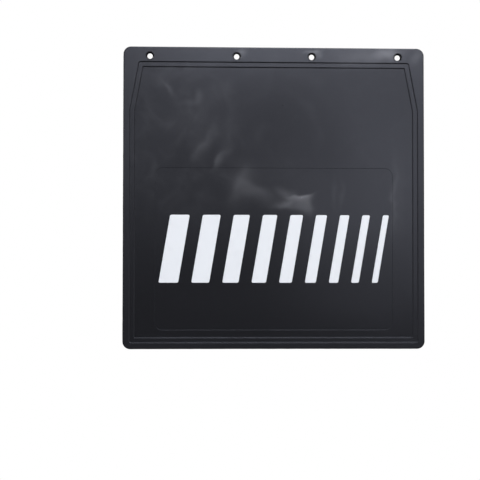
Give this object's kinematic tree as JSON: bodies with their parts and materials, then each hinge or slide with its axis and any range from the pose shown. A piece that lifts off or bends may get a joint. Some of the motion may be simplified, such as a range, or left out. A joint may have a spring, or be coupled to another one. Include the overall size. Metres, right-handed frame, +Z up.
{
  "type": "mud flap",
  "caption": "Square moulded rubber mud flap with a thick stepped border, a row of bolt holes along its top edge and white rubber bars inlaid in its face.",
  "frame": {"origin": "on the flat back face, midway along the row of bolt holes, at the height of their centres", "axes": "+X to the right as seen from the moulded front, +Y out of the back face towards the bracket, +Z up to the bolted edge"},
  "size_m": [0.4, 0.005, 0.4],
  "materials": {
    "black_rubber": "semi-gloss moulded black rubber with faint flow marks",
    "white_rubber": "satin white rubber, smooth"
  },
  "bodies": {
    "root": {"flap_sheet": "black_rubber", "white_bar_1": "white_rubber", "white_bar_2": "white_rubber", "white_bar_3": "white_rubber", "white_bar_4": "white_rubber", "white_bar_5": "white_rubber", "white_bar_6": "white_rubber", "white_bar_7": "white_rubber", "white_bar_8": "white_rubber", "white_bar_9": "white_rubber"}
  },
  "joints": []
}
